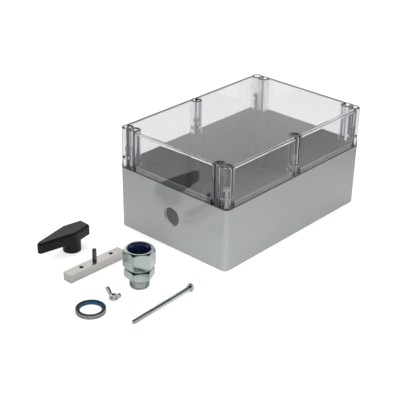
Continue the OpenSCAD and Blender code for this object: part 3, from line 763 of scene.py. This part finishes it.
# Carried-over nodes: finish, and the rounding of their edges in millimetres.
screwCount = 6
lidScrews = [f"lid_screw_{n}" for n in range(1, screwCount + 1)]
screwWashers = [f"screw_washer_{n}" for n in range(1, screwCount + 1)]
carriedSharp, roundedFrom = 30, 28  # degrees between faces
carried = [
    ("mouldedGrey", 0, ["base_shell"]),
    ("mouldedGrey", 0.3, ["hinge_bracket_left", "hinge_bracket_right"]),
    ("clearPlastic", 0, ["lid_cover"]),
    ("sealRubber", 0, ["lid_gasket"]),
    ("blackPlastic", 0.9, ["t_handle"]),
    ("brass", 0.15, ["threaded_inserts", "handle_bush"]),
    ("satinSteel", 0.35, ["stud_bar"]),
    ("ringSteel", 0.4, ["seal_ring_shell"]),
    ("blueRubber", 0.3, ["seal_ring_rubber"]),
    ("deepBlue", 0.15, ["gland_ring"]),
    ("screwSteel", 0.12, ["hinge_pin_left", "hinge_pin_right", "hinge_screws"]),
    ("brightPlating", 0.3, ["wing_nut"]),
    ("nylon", 0.25, lidScrews),
    ("nylon", 0, screwWashers),
]


def roundEdges(node, width):
    bevel = node.modifiers.new("roundedEdges", "BEVEL")
    bevel.width = width * millimetre
    bevel.segments = 3
    bevel.limit_method = "ANGLE"
    bevel.angle_limit = math.radians(roundedFrom)
    bevel.use_clamp_overlap = True
    bevel.miter_outer = "MITER_ARC"
    bevel.harden_normals = False


for finish, rounding, names in carried:
    for name in names:
        node = nodes[name]
        for polygon in node.data.polygons:
            polygon.use_smooth = True
        node.data.set_sharp_from_angle(angle=math.radians(carriedSharp))
        node.data.materials.clear()
        node.data.materials.append(finishes[finish])
        if rounding:
            roundEdges(node, rounding)
print("carried pieces finished")

# Studio: white paper floor painted darker away from the box (painted shade), two soft lamps, and
# surroundings that are part white, part dark flag.
studio = {
    "floorSize": 8.0,
    "floorNear": (0.92, 0.92, 0.92), "floorFarPaintedShade": (0.14, 0.14, 0.145),  # the far colour is painted shade: the paper is darkened away from the box to stand in for light falling off into a dim room
    "floorReach": (0.05, 0.34),  # metres from the box, over which the painted shade deepens and the glow rises
    "floorGlow": (0.35, 1.0),  # near and far, lifts the paper to white where it is looked at
    "skyStrength": 1.0, "horizonStrength": 0.42, "skyFrom": 0.8,  # full strength from this height up
    "behind": (0.744, 0.668, 0.0),  # metal and glass see white on this side and along the horizon
    "behindEdge": (0.5, 0.68), "horizonEdge": (0.2, 0.38),
    "flagLevel": 0.025,  # and a dark flag over the rest
}


def seenRays(tree, place):
    rays = newNode(tree, "ShaderNodeLightPath", place)
    seen = mathNode(tree, "MAXIMUM", rays.outputs["Is Camera Ray"], rays.outputs["Is Transmission Ray"],
                    (place[0] + 200, place[1]))
    return rays, seen


def makeFloor(look):
    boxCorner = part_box("base_shell")[1]
    bpy.ops.mesh.primitive_plane_add(size=look["floorSize"], location=(0, 0, cadLow.z))
    floor = bpy.context.object
    floor.name = "floor"
    material, tree, shader, output = newMaterial("floorPaper")
    shader.inputs["Roughness"].default_value = 0.9
    shader.inputs["Specular IOR Level"].default_value = 0.1
    spot = newNode(tree, "ShaderNodeTexCoord", (-1300, 0))
    mirrored = newNode(tree, "ShaderNodeVectorMath", (-1100, 0), operation="ABSOLUTE")
    beside = newNode(tree, "ShaderNodeVectorMath", (-900, 0), operation="SUBTRACT")
    beside.inputs[1].default_value = (boxCorner.x, boxCorner.y, 0)
    outside = newNode(tree, "ShaderNodeVectorMath", (-700, 0), operation="MAXIMUM")
    away = newNode(tree, "ShaderNodeVectorMath", (-500, 0), operation="LENGTH")
    join(tree, spot.outputs["Object"], mirrored.inputs[0])
    join(tree, mirrored.outputs["Vector"], beside.inputs[0])
    join(tree, beside.outputs["Vector"], outside.inputs[0])
    join(tree, outside.outputs["Vector"], away.inputs[0])
    distance = rangeNode(tree, away.outputs["Value"], *look["floorReach"], 0.0, 1.0, (-300, 0))
    # The floor's colour darkens with distance from the box: painted shade for the light's falloff, which
    # also dims the bounce light and the reflections the floor gives.
    paperAndPaintedShade = mixColour(tree, distance, look["floorNear"], look["floorFarPaintedShade"], (0, -100))
    join(tree, paperAndPaintedShade, shader.inputs["Base Color"])
    rays, seen = seenRays(tree, (-300, 500))
    glow = newNode(tree, "ShaderNodeEmission", (300, 300))
    glow.inputs["Color"].default_value = (1, 1, 1, 1)
    join(tree, rangeNode(tree, distance, 0.0, 1.0, *look["floorGlow"], (0, 300)), glow.inputs["Strength"])
    lifted = newNode(tree, "ShaderNodeAddShader", (600, 300))
    pick = newNode(tree, "ShaderNodeMixShader", (750, 100))
    join(tree, shader.outputs[0], lifted.inputs[0])
    join(tree, glow.outputs[0], lifted.inputs[1])
    join(tree, seen, pick.inputs[0])
    join(tree, shader.outputs[0], pick.inputs[1])
    join(tree, lifted.outputs[0], pick.inputs[2])
    join(tree, pick.outputs[0], output.inputs["Surface"])
    floor.data.materials.append(material)


def makeSky(look):
    world = bpy.data.worlds.new("studioSky")
    scene.world = world
    world.use_nodes = True
    tree = world.node_tree
    tree.nodes.clear()
    place = newNode(tree, "ShaderNodeTexCoord", (-1100, 0))
    split = newNode(tree, "ShaderNodeSeparateXYZ", (-800, 0))
    join(tree, place.outputs["Generated"], split.inputs[0])
    light = newNode(tree, "ShaderNodeBackground", (-200, -100))
    join(tree, rangeNode(tree, split.outputs["Z"], 0.0, look["skyFrom"], look["horizonStrength"],
                         look["skyStrength"], (-500, 0)), light.inputs["Strength"])
    toward = newNode(tree, "ShaderNodeVectorMath", (-800, -300), operation="DOT_PRODUCT")
    join(tree, place.outputs["Generated"], toward.inputs[0])
    toward.inputs[1].default_value = look["behind"]
    mirrored = newNode(tree, "ShaderNodeBackground", (-100, -300))
    inFront = rangeNode(tree, toward.outputs["Value"], *look["behindEdge"], 1.0, 0.0, (-600, -300))
    above = rangeNode(tree, split.outputs["Z"], *look["horizonEdge"], 0.0, 1.0, (-600, -550))
    flag = mathNode(tree, "MULTIPLY", inFront, above, (-400, -400))
    join(tree, rangeNode(tree, flag, 0.0, 1.0, 1.0, look["flagLevel"], (-250, -400)),
         mirrored.inputs["Strength"])
    white = newNode(tree, "ShaderNodeBackground", (-200, 200))
    rays, seen = seenRays(tree, (-600, 400))
    gloss = newNode(tree, "ShaderNodeMixShader", (50, -100))
    pick = newNode(tree, "ShaderNodeMixShader", (250, 100))
    output = newNode(tree, "ShaderNodeOutputWorld", (450, 100))
    join(tree, rays.outputs["Is Glossy Ray"], gloss.inputs[0])
    join(tree, light.outputs[0], gloss.inputs[1])
    join(tree, mirrored.outputs[0], gloss.inputs[2])
    join(tree, seen, pick.inputs[0])
    join(tree, gloss.outputs[0], pick.inputs[1])
    join(tree, white.outputs[0], pick.inputs[2])
    join(tree, pick.outputs[0], output.inputs["Surface"])
    for background in (light, mirrored, white):
        background.inputs["Color"].default_value = (1, 1, 1, 1)


lamps = [
    {"name": "overheadBox", "at": (0.3, 0.4, 1.6), "aim": (0, 0, 0.1), "size": (1.9, 1.7), "power": 6},
    {"name": "cornerBox", "at": (-0.62, -0.5, 0.2), "aim": (-0.15, -0.1, 0.0), "size": (0.5, 0.3),
     "power": 2.4},
]


def softBox(look):
    lamp = bpy.data.lights.new(look["name"], "AREA")
    lamp.shape = "RECTANGLE"
    lamp.size, lamp.size_y = look["size"]
    lamp.energy = look["power"]
    holder = bpy.data.objects.new(look["name"], lamp)
    holder.location = look["at"]
    holder.rotation_mode = "QUATERNION"
    holder.rotation_quaternion = (Vector(look["aim"]) - Vector(look["at"])).to_track_quat("-Z", "Y")
    holder.visible_glossy = False  # the white surroundings make the highlights
    scene.collection.objects.link(holder)


makeFloor(studio)
makeSky(studio)
for lampLook in lamps:
    softBox(lampLook)
scene.view_settings.view_transform = "Standard"
print("studio made")
